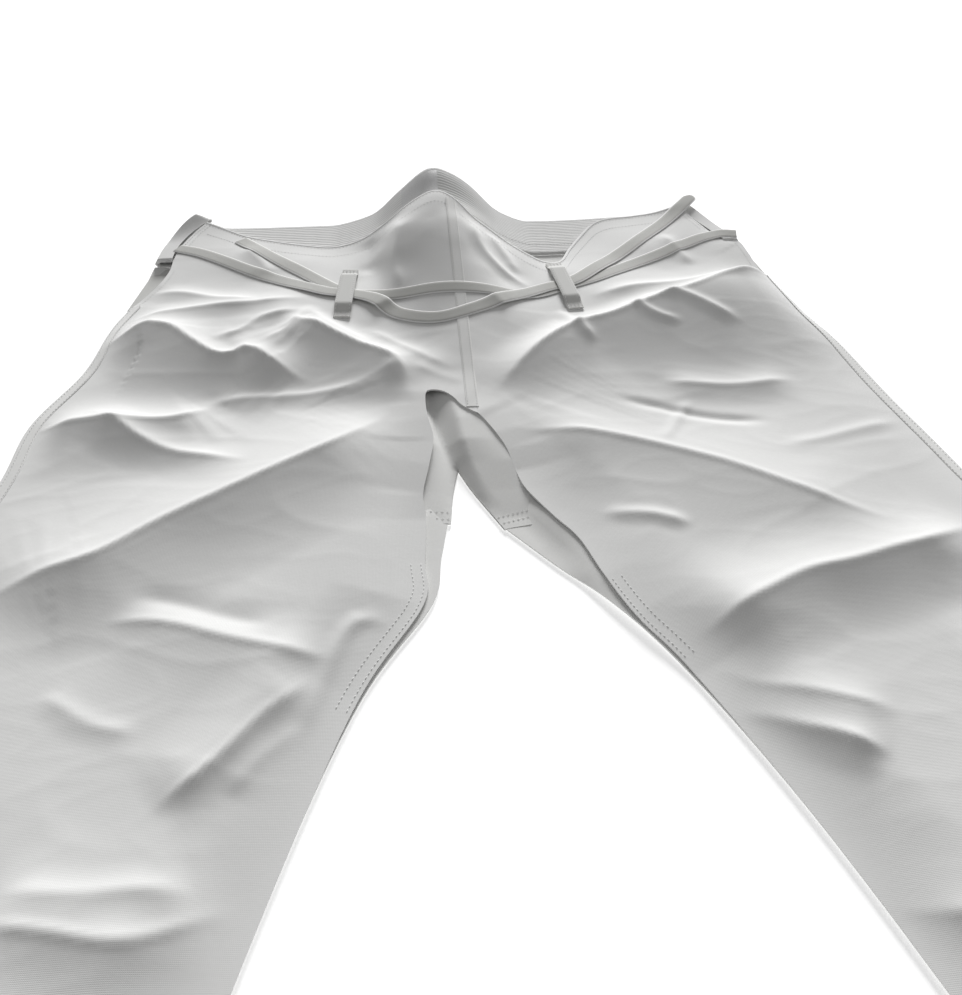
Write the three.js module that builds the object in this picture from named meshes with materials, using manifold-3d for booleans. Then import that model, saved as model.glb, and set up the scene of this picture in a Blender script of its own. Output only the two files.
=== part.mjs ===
// White martial arts trousers laid flat, waist towards +Y and hems towards -Y, front side up.
// Millimetres. X runs across the body (wearer's right is -X), Z is up, and the origin is the bottom
// centre of the whole object. Every cut piece of cloth, the elastic, the tape drawstring, the belt
// loops and the label are separate solids. Each leg panel is split at its knee fold.

import * as THREE from 'three';
import Module from 'manifold-3d';
import { mergeVertices } from 'three/addons/utils/BufferGeometryUtils.js';

// ---------------------------------------------------------------- driving dimensions
const CLOTH = 2;              // thickness of one leg panel with its seam allowances
const SEAM_GAP = 0.3;         // clearance between sewn pieces
const FLAT = CLOTH;           // top of a layer that lies on the ground
const LIP = 2 * CLOTH + SEAM_GAP; // top of the front layer where it is sewn to the back layer

const BAND = {
  low: 416, high: 488,        // lower and upper edge of the back waistband, along Y
  right: -272, left: 240,     // outermost points of its two side folds, along X
  wrap: 20,                   // how far each end turns over onto the front
  thickness: 4, channel: 2.2, wall: 1,
  underside: 2, topside: 12,  // mid-heights of the back layer and of the turned-over ends
};
const ELASTIC = { low: 436, high: 486, thickness: 1.2 };
const TAPE = { width: 14, thickness: 1.5, tunnelMiddle: 425 };
const TAPE_STEP = 5;          // spacing of the sections along a tape run
const TAPE_RISE = 5;          // sections over which a strand comes down from the band's mouth
const UNDER_TAPE = 0.8;       // height of the lower strand above the cloth
const OVER_TAPE = 4.2;        // height of the upper strand above the cloth
const FRONT_TOP = 16;         // top of the cloth at the belt loops
const LOOP = { width: 16, length: 70, strip: 1.5, headroom: 6.4, foot: 6, ramp: 4 };
const LABEL = { width: 24, height: 28, thickness: 0.6, x: -50, y: 467 };
const GUSSET_TOP = 9;         // top of the front half of the crotch gusset

// ---------------------------------------------------------------- materials
const cotton = (shade) => new THREE.MeshStandardMaterial({
  color: new THREE.Color(shade, shade, shade * 0.985), roughness: 0.92, metalness: 0,
});
const COTTON = 0.84;
const LINING = 0.78;
const TAPE_COTTON = 0.8;
const RUBBER = 0.9;

const trousers = new THREE.Group();

function add(name, geometry, shade) {
  const mesh = new THREE.Mesh(geometry, cotton(shade));
  mesh.name = name;
  trousers.add(mesh);
  return mesh;
}

// ---------------------------------------------------------------- solids
function closedMesh(points, triangles) {
  const geometry = new THREE.BufferGeometry();
  geometry.setAttribute('position', new THREE.Float32BufferAttribute(points.flat(), 3));
  geometry.setIndex(triangles.flat());
  geometry.computeVertexNormals();
  return geometry;
}

const distance = (p, q) => Math.fround(Math.hypot(p[0] - q[0], p[1] - q[1], p[2] - q[2]));

// A closed solid between rings of the same number of corners. The two ends are closed by strips
// that join corner k to its partner on the other side of the ring, so a ring is one side of a
// sheet followed by its other side backwards. Each four-cornered face is split along its shorter
// diagonal, so that two sheets through the same points stay parallel.
function loft(rings) {
  const points = rings.flat();
  const corners = rings[0].length;
  const half = corners / 2;
  const triangles = [];
  for (let r = 0; r + 1 < rings.length; r += 1) {
    for (let k = 0; k < corners; k += 1) {
      const next = (k + 1) % corners;
      const a = r * corners + k;
      const b = r * corners + next;
      const c = b + corners;
      const d = a + corners;
      if (distance(points[a], points[c]) <= distance(points[b], points[d])) {
        triangles.push([a, b, c], [a, c, d]);
      } else {
        triangles.push([a, b, d], [b, c, d]);
      }
    }
  }
  const last = (rings.length - 1) * corners;
  for (let k = 0; k + 1 < half; k += 1) {
    const partner = corners - 1 - k;
    triangles.push([k, partner, partner - 1], [k, partner - 1, k + 1]);
    triangles.push([last + k, last + k + 1, last + partner - 1], [last + k, last + partner - 1, last + partner]);
  }
  return outward(closedMesh(points, triangles));
}

// Turns a solid inside out if its faces point in.
function outward(geometry) {
  const index = geometry.index.array;
  const position = geometry.attributes.position;
  const [a, b, c] = [new THREE.Vector3(), new THREE.Vector3(), new THREE.Vector3()];
  let volume = 0;
  for (let i = 0; i < index.length; i += 3) {
    a.fromBufferAttribute(position, index[i]);
    b.fromBufferAttribute(position, index[i + 1]);
    c.fromBufferAttribute(position, index[i + 2]);
    volume += a.dot(b.cross(c));
  }
  if (volume < 0) {
    for (let i = 0; i < index.length; i += 3) {
      [index[i + 1], index[i + 2]] = [index[i + 2], index[i + 1]];
    }
  }
  return geometry;
}

// A sheet whose top passes through rows of points, given from one side of the cloth to the other.
function sheet(rows, thickness) {
  return loft(rows.map((row) => {
    const underside = row.map(([x, y, z]) => [x, y, z - thickness]);
    return [...row, ...underside.reverse()];
  }));
}

// A flat plate with the given plan outline.
function plate(outline, low, high) {
  const shape = new THREE.Shape(outline.map(([x, y]) => new THREE.Vector2(x, y)));
  const geometry = new THREE.ExtrudeGeometry(shape, { depth: high - low, bevelEnabled: false });
  return geometry.translate(0, 0, low);
}

// A strap that follows a line in the XZ plane and is as wide as from one Y to another.
function strap(line, thickness, low, high) {
  const normalAt = (k) => {
    const [x0, z0] = line[Math.max(k - 1, 0)];
    const [x1, z1] = line[k];
    const [x2, z2] = line[Math.min(k + 1, line.length - 1)];
    const before = new THREE.Vector2(x1 - x0, z1 - z0).normalize();
    const after = new THREE.Vector2(x2 - x1, z2 - z1).normalize();
    const along = before.clone().add(after).normalize();
    const cosHalf = Math.max(along.dot(after.lengthSq() > 0 ? after : before), 0.5);
    return [-along.y / cosHalf, along.x / cosHalf];
  };
  const offset = (distance) => line.map(([x, z], k) => {
    const [nx, nz] = normalAt(k);
    return [x + nx * distance, z + nz * distance];
  });
  const ring = [...offset(thickness / 2), ...offset(-thickness / 2).reverse()];
  return loft([low, high].map((y) => ring.map(([x, z]) => [x, y, z])));
}

// ---------------------------------------------------------------- booleans
const wasm = await Module();
wasm.setup();

function solid(geometry) {
  const bare = geometry.clone();
  bare.deleteAttribute('normal');
  bare.deleteAttribute('uv');
  const merged = mergeVertices(bare, 1e-4);
  return new wasm.Manifold(new wasm.Mesh({
    numProp: 3,
    vertProperties: new Float32Array(merged.attributes.position.array),
    triVerts: new Uint32Array(merged.index.array),
  }));
}

function geometryOf(manifold) {
  const mesh = manifold.getMesh();
  const geometry = new THREE.BufferGeometry();
  geometry.setAttribute('position', new THREE.BufferAttribute(new Float32Array(mesh.vertProperties), 3));
  geometry.setIndex(new THREE.BufferAttribute(new Uint32Array(mesh.triVerts), 1));
  geometry.computeVertexNormals();
  return geometry;
}

const carve = (body, hollow) => geometryOf(solid(body).subtract(solid(hollow)));

// ---------------------------------------------------------------- leg panels
// Each row runs from the centre seam or inseam out to the side seam. The first rows are given
// point by point, because the cloth rises to a hump at the centre of the waist.
const FRONT_HEIGHTS = [LIP, 13, 17, 20, 20, 16, LIP];
const ACROSS = [0, 0.1, 0.22, 0.38, 0.65, 0.88, 1];

// A row between the inner and the outer edge, with heights from the inner edge outwards.
function span([innerX, innerY], [outerX, outerY], heights) {
  return ACROSS.map((u, k) => [
    innerX + (outerX - innerX) * u, innerY + (outerY - innerY) * u, heights[k],
  ]);
}

const BESIDE_GUSSET = [11, 15, 17, 20, 20, 16, LIP];
const SEAT_HEIGHTS = [12, 10];    // where the back layer comes down from the hump, at the centre seam
const SHIN_HEIGHTS = [LIP, 12, 16, 18, 18, 14, LIP];
const HEM_HEIGHTS = [LIP, 8, 11, 12, 12, 9, LIP];

const LEGS = {
  right: {
    waist: [
      [[-14.4, 434, 50], [-34, 446, 53], [-62, 431, 39], [-88, 430, 20], [-150, 444, 16],
        [-205, 462, 15], [-251, 478, 9]],
      [[-14.4, 412, 48], [-34, 415, 52], [-62, 412, 37], [-88, 412, 19], [-150, 414, 16],
        [-205, 415, 15], [-251.2, 415.7, 9]],
      [[-14.4, 380, 38], [-36, 382, 37], [-62, 384, 25], [-88, 388, 16], [-150, 398, 16],
        [-212, 408, 15], [-268, 415.3, 8]],
      [[-14.4, 325, 28], [-38, 325, 26], [-62, 325, 20], [-88, 325, 16], [-150, 326, 16],
        [-222, 327, 14], [-294, 330, LIP]],
      [[-14.4, 250, 20], [-40, 250, 20], [-70, 250, 17], [-100, 250, 16], [-170, 250, 16],
        [-270, 250, 16], [-307, 250, LIP]],
    ],
    thigh: [
      span([-14.4, 176], [-329, 186], BESIDE_GUSSET),
      span([-34.4, 118], [-332, 124], BESIDE_GUSSET),
      span([-51.8, 68.4], [-342, 56], BESIDE_GUSSET),
      span([-38.2, 61.8], [-347, 34], FRONT_HEIGHTS),
      span([-52, -8], [-354, 8], FRONT_HEIGHTS),
      span([-94, -73], [-366, -33], FRONT_HEIGHTS),
    ],
    kneeInner: [-133, -183], kneeOuter: [-376.6, -122],
    hemInner: [-231.3, -510], hemOuter: [-450, -455.9],
    backTop: [[-14.4, 415.6, 34], [-36, 415.6, 38], [-62, 415.6, 22], [-88, 415.6, 8], [-125, 415.6, FLAT],
      [-205, 415.6, FLAT], [-281, 415.6, FLAT]],
    vent: [[-281, 412], [-270.6, 412], [-290.2, 345], [-292, 345]],
  },
  left: {
    waist: [
      [[-13.6, 434, 50], [2, 412, 40], [24, 403, 26], [50, 385, 17], [88, 376, 16],
        [128, 436, 16], [219, 470, 9]],
      [[-13.6, 412, 48], [4, 398, 36], [26, 388, 23], [52, 374, 16], [88, 366, 16],
        [140, 400, 16], [219.2, 415.7, 9]],
      [[-13.6, 380, 38], [4, 378, 30], [26, 374, 20], [52, 366, 16], [92, 358, 16],
        [160, 385, 16], [236, 415.3, 8]],
      [[-13.6, 325, 28], [6, 325, 25], [28, 325, 19], [52, 325, 16], [100, 325, 16],
        [190, 327, 14], [259, 330, LIP]],
      [[-13.6, 250, 20], [12, 250, 20], [40, 250, 17], [70, 250, 16], [140, 250, 16],
        [240, 250, 16], [279.5, 250, LIP]],
    ],
    thigh: [
      span([-13.6, 176], [290, 176], BESIDE_GUSSET),
      span([5.6, 118], [300.5, 118], BESIDE_GUSSET),
      span([26.9, 55.2], [309, 70], BESIDE_GUSSET),
      span([-3.2, 48.9], [312, 56], FRONT_HEIGHTS),
      span([48, -13], [325, 8], FRONT_HEIGHTS),
      span([86, -72], [342, -24], FRONT_HEIGHTS),
    ],
    kneeInner: [126, -172], kneeOuter: [353, -103],
    hemInner: [235, -510], hemOuter: [450, -444],
    backTop: [[-13.6, 415.6, 34], [4, 415.6, 24], [26, 415.6, 10], [55, 415.6, FLAT], [92, 415.6, FLAT],
      [160, 415.6, FLAT], [248, 415.6, FLAT]],
    vent: [[249, 412], [238.4, 412], [256.2, 345], [257.6, 345]],
  },
};

const flatRow = (row) => row.map(([x, y]) => [x, y, FLAT]);

// Moves a knee row a little up or down the leg, so that the two halves of a panel keep a gap.
function nudged(row, kneeInner, kneeOuter, distance) {
  const across = new THREE.Vector2(kneeOuter[0] - kneeInner[0], kneeOuter[1] - kneeInner[1]).normalize();
  const up = across.x < 0 ? [across.y, -across.x] : [-across.y, across.x];
  return row.map(([x, y, z]) => [x + up[0] * distance, y + up[1] * distance, z]);
}

const frontPanels = [];
for (const [side, leg] of Object.entries(LEGS)) {
  const knee = span(leg.kneeInner, leg.kneeOuter, FRONT_HEIGHTS);
  const aboveKnee = nudged(knee, leg.kneeInner, leg.kneeOuter, SEAM_GAP / 2);
  const belowKnee = nudged(knee, leg.kneeInner, leg.kneeOuter, -SEAM_GAP / 2);
  const midShin = span(
    [(leg.kneeInner[0] + leg.hemInner[0]) / 2, (leg.kneeInner[1] + leg.hemInner[1]) / 2],
    [(leg.kneeOuter[0] + leg.hemOuter[0]) / 2, (leg.kneeOuter[1] + leg.hemOuter[1]) / 2],
    SHIN_HEIGHTS,
  );
  const hem = span(leg.hemInner, leg.hemOuter, HEM_HEIGHTS);
  const [, , , ventEnd, hip] = leg.waist;

  frontPanels.push(add(`${side}_front_panel`, sheet([...leg.waist, ...leg.thigh, aboveKnee], CLOTH), COTTON));
  add(`${side}_front_lower_leg`, sheet([belowKnee, midShin, hem], CLOTH), COTTON);

  const seatRow = ventEnd.map(([x, y], k) => [x, y, SEAT_HEIGHTS[k] ?? FLAT]);
  const backRows = [leg.backTop, seatRow, flatRow(hip), ...leg.thigh.map(flatRow), flatRow(aboveKnee)];
  add(`${side}_back_panel`, sheet(backRows, CLOTH), LINING);
  add(`${side}_back_lower_leg`, sheet([belowKnee, midShin, hem].map(flatRow), CLOTH), LINING);

  add(`${side}_vent_facing`, plate(leg.vent, FLAT + SEAM_GAP, FLAT + SEAM_GAP + 1.2), LINING);
}

// ---------------------------------------------------------------- front waist facing
// A strip inside the front waist edge, one piece from side to side.
const under = ([x, y, z]) => [x, y, z - CLOTH - SEAM_GAP];
const facingRows = [0, 1].map((r) => [
  ...LEGS.right.waist[r].slice().reverse().map(under),
  ...LEGS.left.waist[r].map(under),
]);
add('front_waist_facing', sheet(facingRows, 1), LINING);

// ---------------------------------------------------------------- crotch gusset
// A diamond folded over the crotch: a front half, a back half and the fold between them.
const GUSSET = [[-14, 172], [-51, 69], [-38, 63], [-33, 114], [-4, 50], [26, 56]];
const GUSSET_HOLLOW = [[-14, 200], [-80, 50], [-42, 50], [-33.6, 118.5], [0.2, 45], [60, 45]];
add('crotch_gusset', carve(
  plate(GUSSET, 0, GUSSET_TOP),
  plate(GUSSET_HOLLOW, CLOTH, GUSSET_TOP - CLOTH),
), COTTON);

// ---------------------------------------------------------------- back waistband
// The line of the band seen from the waist: turned-over end, side fold, back layer with the hump
// at the centre back, back layer, side fold, turned-over end.
const BACK_HUMP = [[-125, 2], [-88, 12], [-62, 29], [-35, 45], [-14, 41], [4, 31], [26, 14], [55, 2]];
const FOLD_CORNERS = 4;       // straight parts that make one side fold

function bandLine(extra) {
  const radius = (BAND.topside - BAND.underside) / 2;
  const middle = (BAND.topside + BAND.underside) / 2;
  const inset = BAND.thickness / 2 + radius;
  const fold = (x, outwards) => Array.from({ length: FOLD_CORNERS + 1 }, (_, k) => {
    const angle = Math.PI / 2 - (k * Math.PI) / FOLD_CORNERS;
    return [x + outwards * Math.cos(angle) * radius, middle + Math.sin(angle) * radius];
  });
  return [
    [BAND.right + BAND.wrap + extra, BAND.topside],
    ...fold(BAND.right + inset, -1),
    ...BACK_HUMP,
    ...fold(BAND.left - inset, 1).reverse(),
    [BAND.left - BAND.wrap - extra, BAND.topside],
  ];
}
add('back_waistband', carve(
  strap(bandLine(0), BAND.thickness, BAND.low, BAND.high),
  strap(bandLine(2), BAND.channel, BAND.low + BAND.wall, BAND.high - BAND.wall),
), COTTON);
add('waistband_elastic', strap(bandLine(-1), ELASTIC.thickness, ELASTIC.low, ELASTIC.high), RUBBER);
add('drawstring_back_run', strap(
  bandLine(-SEAM_GAP / 2), TAPE.thickness,
  TAPE.tunnelMiddle - TAPE.width / 2, TAPE.tunnelMiddle + TAPE.width / 2,
), TAPE_COTTON);

// A blank woven label on the inner face of the band, on the wearer's right slope of the hump.
const [slopeFoot, slopeTop] = BACK_HUMP.slice(2, 4);
const slope = Math.atan2(slopeTop[1] - slopeFoot[1], slopeTop[0] - slopeFoot[0]);
const slopeHeight = slopeFoot[1] + (LABEL.x - slopeFoot[0]) * Math.tan(slope);
const labelOffset = BAND.thickness / 2 + SEAM_GAP + LABEL.thickness / 2;
const label = new THREE.BoxGeometry(LABEL.width, LABEL.height, LABEL.thickness);
label.rotateY(-slope);
label.translate(
  LABEL.x - Math.sin(slope) * labelOffset, LABEL.y, slopeHeight + Math.cos(slope) * labelOffset,
);
add('blank_label', label, RUBBER);

// ---------------------------------------------------------------- belt loops
const LOOPS = {
  right: { x: -108, y: 333, turn: 2 },   // turn in degrees, seen from above
  left: { x: 70, y: 333, turn: 12 },
};
for (const [side, { x, y, turn }] of Object.entries(LOOPS)) {
  const end = LOOP.length / 2;
  const low = FRONT_TOP + SEAM_GAP;
  const high = low + LOOP.headroom;
  const line = [[-end, low], [-end + LOOP.foot, low], [-end + LOOP.foot + LOOP.ramp, high],
    [end - LOOP.foot - LOOP.ramp, high], [end - LOOP.foot, low], [end, low]];
  const arch = strap(line.map(([u, z]) => [u, z + LOOP.strip / 2]), LOOP.strip, -LOOP.width / 2, LOOP.width / 2);
  arch.rotateZ(Math.PI / 2 + THREE.MathUtils.degToRad(turn));
  arch.translate(x, y, 0);
  add(`${side}_belt_loop`, arch, COTTON);
}

// ---------------------------------------------------------------- drawstring
// One tape. Each strand leaves the side of the back waistband, goes through the near loop, across
// the front, and through the far loop; its free end lies over the far side of the waist.
const caster = new THREE.Raycaster();
const DOWN = new THREE.Vector3(0, 0, -1);
trousers.updateMatrixWorld(true);

function clothHeight(x, y) {
  caster.set(new THREE.Vector3(x, y, 500), DOWN);
  const hit = caster.intersectObjects(frontPanels)[0];
  return hit ? hit.point.z : LIP;
}

const direction = (from, to) => new THREE.Vector3(to[0] - from[0], to[1] - from[1], 0).normalize();

// A flat tape that follows a smooth line through plan points, at a height above the cloth.
function layTape(route, lift, exitHeight, exitDirection, endDirection) {
  const curve = new THREE.CatmullRomCurve3(route.map(([x, y]) => new THREE.Vector3(x, y, 0)));
  const steps = Math.round(curve.getLength() / TAPE_STEP);
  const rows = [];
  for (let k = 0; k <= steps; k += 1) {
    const at = curve.getPointAt(k / steps);
    const along = k === 0 ? exitDirection : k === steps ? endDirection : curve.getTangentAt(k / steps);
    const edges = [1, -1].map((side) => [
      at.x - along.y * side * TAPE.width / 2, at.y + along.x * side * TAPE.width / 2,
    ]);
    const rest = Math.max(...edges.map(([x, y]) => clothHeight(x, y)), clothHeight(at.x, at.y));
    const blendIn = Math.min(k / TAPE_RISE, 1);
    const top = (rest + lift + TAPE.thickness) * blendIn + exitHeight * (1 - blendIn);
    rows.push(edges.map(([x, y]) => [x, y, top]));
  }
  return sheet(rows, TAPE.thickness);
}

// The straight end of a tape, level and just past the end of its strand.
function freeEnd(from, to, underside) {
  const along = direction(from, to);
  const start = [from[0] + along.x * 2 * SEAM_GAP, from[1] + along.y * 2 * SEAM_GAP];
  const rows = [start, to].map(([x, y]) => [1, -1].map((side) => [
    x - along.y * side * TAPE.width / 2, y + along.x * side * TAPE.width / 2,
    underside + TAPE.thickness,
  ]));
  return sheet(rows, TAPE.thickness);
}

const MOUTH = BAND.topside + TAPE.thickness / 2;
const STRANDS = {
  right: {
    route: [[BAND.right + BAND.wrap + SEAM_GAP, 425], [-236, 422], [-203, 394], [-160, 360], [-128, 338],
      [-108, 331], [-88, 318], [-66, 291], [-35, 277], [-3, 287], [30, 310], [54, 326], [72, 334], [86, 343]],
    tip: [212, 482], exit: new THREE.Vector3(1, 0, 0), lift: OVER_TAPE,
  },
  left: {
    route: [[BAND.left - BAND.wrap - SEAM_GAP, 425], [204, 415], [174, 388], [144, 366], [104, 343],
      [72, 331], [40, 315], [10, 311], [-30, 312], [-66, 318], [-90, 327], [-108, 334], [-121, 344]],
    tip: [-209, 446], exit: new THREE.Vector3(-1, 0, 0), lift: UNDER_TAPE,
  },
};
for (const [side, { route, tip, exit, lift }] of Object.entries(STRANDS)) {
  const turn = route[route.length - 1];
  add(`drawstring_${side}_strand`, layTape(route, lift, MOUTH, exit, direction(turn, tip)), TAPE_COTTON);
  add(`drawstring_${side}_end`, freeEnd(turn, tip, FRONT_TOP + lift), TAPE_COTTON);
}

// ---------------------------------------------------------------- origin at the bottom centre
const box = new THREE.Box3().setFromObject(trousers);
const centre = box.getCenter(new THREE.Vector3());
trousers.position.set(-centre.x, -centre.y, -box.min.z);
trousers.updateMatrixWorld(true);

export default trousers;
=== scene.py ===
"""White martial arts trousers laid flat: every cloth piece, tape and seam round the CAD frame.

Plan positions are in millimetres in the frame's own axes (wearer's right is -X, waist is +Y).
The cloth is one relief: a broad form, plus named folds, plus small creases. Every panel, tape,
loop and seam is laid on that relief, so that they stay on each other.
"""

import math

import bpy
import numpy as np
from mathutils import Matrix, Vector, noise
from mathutils.geometry import delaunay_2d_cdt


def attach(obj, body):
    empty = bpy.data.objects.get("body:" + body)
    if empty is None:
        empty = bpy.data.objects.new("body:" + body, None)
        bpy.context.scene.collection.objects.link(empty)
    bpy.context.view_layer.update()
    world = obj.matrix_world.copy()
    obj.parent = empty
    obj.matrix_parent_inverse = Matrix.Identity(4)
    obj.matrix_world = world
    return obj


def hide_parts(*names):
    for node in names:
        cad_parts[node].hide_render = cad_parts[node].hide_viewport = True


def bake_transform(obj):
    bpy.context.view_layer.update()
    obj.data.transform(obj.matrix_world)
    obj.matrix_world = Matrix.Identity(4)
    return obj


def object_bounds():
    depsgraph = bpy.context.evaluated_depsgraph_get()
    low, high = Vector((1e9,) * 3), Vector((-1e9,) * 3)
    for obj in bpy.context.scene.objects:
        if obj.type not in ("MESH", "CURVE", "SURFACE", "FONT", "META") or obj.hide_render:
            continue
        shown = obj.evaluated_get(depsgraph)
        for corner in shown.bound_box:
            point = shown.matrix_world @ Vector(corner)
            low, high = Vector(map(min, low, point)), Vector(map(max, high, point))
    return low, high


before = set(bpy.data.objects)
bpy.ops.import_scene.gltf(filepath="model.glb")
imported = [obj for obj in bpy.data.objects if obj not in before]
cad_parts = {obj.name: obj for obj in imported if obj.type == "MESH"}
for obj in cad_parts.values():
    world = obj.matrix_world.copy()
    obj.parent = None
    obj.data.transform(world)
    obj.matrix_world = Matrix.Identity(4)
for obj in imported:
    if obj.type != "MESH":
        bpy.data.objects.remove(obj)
CAD_LOW, CAD_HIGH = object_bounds()

MM = 0.001
CLOTH = 1.2              # thickness of one layer of cotton
GRID = 2.8               # spacing of the panels' mesh
BACK_GRID = 7.0          # spacing of the plainer back panels' mesh
SEAM_LIFT = 0.45         # how far a felled seam stands above the panel
CENTRE = -14.0           # centre front seam, along X
SHARP_ANGLE = 48         # degrees between faces above which their shared edge stays sharp


# ------------------------------------------------------------------------------ lines
def plan_points(edge):
    """The points of an edge without their heights."""
    return np.array(edge, float)[:, :2]


def unit_rows(vectors):
    """Each row scaled to length 1."""
    return vectors / np.linalg.norm(vectors, axis=1)[:, None]


def leftward(line):
    """Unit vectors to the left of a flat line, at each of its points."""
    along = unit_rows(np.gradient(line, axis=0))
    return np.c_[-along[:, 1], along[:, 0]]


def resample(line, step):
    """The same line with points about `step` apart."""
    lengths = np.r_[0, np.cumsum(np.linalg.norm(np.diff(line, axis=0), axis=1))]
    count = max(2, int(round(lengths[-1] / step)) + 1)
    at = np.linspace(0, lengths[-1], count)
    return np.stack([np.interp(at, lengths, column) for column in line.T], axis=1)


def smooth_line(points, step):
    """A Catmull-Rom curve through the points, as points about `step` apart."""
    p = np.array(points, float)
    p = np.vstack([2 * p[0] - p[1], p, 2 * p[-1] - p[-2]])
    out = []
    for a, b, c, d in zip(p, p[1:], p[2:], p[3:]):
        for s in np.arange(8) / 8:
            cubic = (-a + 3 * b - 3 * c + d) * s ** 3
            out.append(0.5 * (2 * b + (c - a) * s + (2 * a - 5 * b + 4 * c - d) * s ** 2 + cubic))
    out.append(p[-2])
    return resample(np.array(out), step)


def nearest(xy, line):
    """For each point: distance to the line, side (+1 is left), place along it, index, share."""
    start, run = line[:-1, :2], np.diff(line[:, :2], axis=0)
    lengths = np.maximum(np.linalg.norm(run, axis=1), 1e-9)
    offset = xy[:, None, :] - start[None]
    share = np.clip((offset * run).sum(-1) / lengths ** 2, 0, 1)
    gap = offset - share[..., None] * run
    distance = np.linalg.norm(gap, axis=-1)
    k = distance.argmin(1)
    rows = np.arange(len(xy))
    ahead = np.r_[0, np.cumsum(lengths)]
    place = (ahead[k] + share[rows, k] * lengths[k]) / ahead[-1]
    side = np.sign(run[k, 0] * gap[rows, k, 1] - run[k, 1] * gap[rows, k, 0])
    return distance[rows, k], side, place, k, share[rows, k]


def smoothstep(low, high, value):
    """0 at low, 1 at high, which may be the smaller of the two, and an S-curve between."""
    t = np.clip((value - low) / (high - low), 0, 1)
    return t * t * (3 - 2 * t)


def inside(xy, outline):
    """Which points are inside the closed outline."""
    x, y = xy[:, 0][:, None], xy[:, 1][:, None]
    x0, y0 = outline[:, 0], outline[:, 1]
    x1, y1 = np.roll(x0, -1), np.roll(y0, -1)
    with np.errstate(divide="ignore", invalid="ignore"):
        crossing = ((y0 > y) != (y1 > y)) & (x < (x1 - x0) * (y - y0) / (y1 - y0) + x0)
    return crossing.sum(1) % 2 == 1


def facing_up(xy, faces):
    """The faces of a plan mesh, each turned so that it faces upwards."""
    upward = []
    for face in faces:
        a, b, c = (xy[i] for i in face[:3])
        turn = (b[0] - a[0]) * (c[1] - a[1]) - (b[1] - a[1]) * (c[0] - a[0])
        upward.append(face if turn > 0 else face[::-1])
    return upward


# ------------------------------------------------------------------------------ cut edges
# Front panels: waist edge, side edge and inner edge. The third number is the edge's height.
RIGHT_WAIST = [(-14, 446, 50), (-30, 457, 53), (-48, 452, 48), (-66, 447, 37), (-80, 444, 27),
               (-96, 440, 18), (-112, 437, 13.5), (-130, 437, 11.5), (-164, 448, 11),
               (-202, 464, 11), (-222, 478, 11.5), (-245, 494, 13)]
RIGHT_BAND_END = [(-245, 494, 13), (-255.5, 475, 10.6), (-263.5, 450, 9.8), (-265.5, 431, 9.5)]
RIGHT_VENT = [(-265.5, 431, 9.5), (-266, 426, 9), (-266.5, 408, 8.5), (-272, 385, 8),
              (-284, 362, 5), (-290, 354, 4)]
RIGHT_SIDE = [(-290, 354, 4), (-300, 318, 3.4), (-307, 261, 2.6), (-329, 197, 2.6),
              (-332, 135, 2.6), (-342, 67, 2.6), (-354, 19, 2.6), (-366, -22, 2.6),
              (-376.6, -111, 2.6), (-412, -272, 2.6), (-450, -445, 2.6)]
RIGHT_INNER = [(-14, 171, 14), (-18, 174, 14), (-25, 181, 14.5), (-30, 190, 15), (-36, 197, 15),
               (-43, 200, 15), (-49, 198, 15), (-50, 186, 14), (-49, 170, 13), (-46, 148, 11),
               (-50, 122, 9), (-55, 96, 6), (-54, 74, 4), (-56, 36, 3), (-58, 2, 2.6),
               (-94, -62, 2.6), (-133, -172, 2.6), (-180, -330, 2.6), (-231.3, -499, 2.6)]
LEFT_WAIST = [(-14, 446, 50), (2, 432, 37), (17, 426, 27), (32, 416, 20), (47, 402, 16),
              (62, 389, 14), (76, 391, 13), (88, 416, 12), (102, 441, 12), (117, 464, 12),
              (132, 474, 12), (152, 478, 12), (181, 484, 12), (194, 488, 13), (206, 492, 15)]
LEFT_BAND_END = [(206, 492, 15), (214, 472, 11), (222.5, 450, 9.8), (230.5, 431, 9.5)]
LEFT_VENT = [(230.5, 431, 9.5), (236, 427, 9.5), (246, 425, 9), (249, 404, 8), (251, 376, 6),
             (257, 354, 4)]
LEFT_SIDE = [(257, 354, 4), (268, 300, 3.4), (279.5, 261, 2.6), (290, 187, 2.6), (300.5, 129, 2.6),
             (309, 81, 2.6), (325, 19, 2.6), (342, -13, 2.6), (353, -92, 2.6), (400, -262, 2.6),
             (450, -433, 2.6)]
LEFT_INNER = [(-14, 171, 14), (-10, 165, 13), (-3, 150, 12), (3, 134, 10), (7, 113, 7),
              (12, 95, 6.4), (26, 69, 6), (39, 47, 6), (49, 15, 6), (62, -18, 5),
              (86, -61, 2.6), (126, -161, 2.6), (178, -322, 2.6), (235, -499, 2.6)]
EDGES = {
    "right": dict(waist=RIGHT_WAIST, band_end=RIGHT_BAND_END, vent=RIGHT_VENT, side=RIGHT_SIDE,
                  inner=RIGHT_INNER),
    "left": dict(waist=LEFT_WAIST, band_end=LEFT_BAND_END, vent=LEFT_VENT, side=LEFT_SIDE,
                 inner=LEFT_INNER),
}
FRONT_WAIST = RIGHT_WAIST[::-1] + LEFT_WAIST[1:]
INWARD = {"right": -1, "left": 1}
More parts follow.
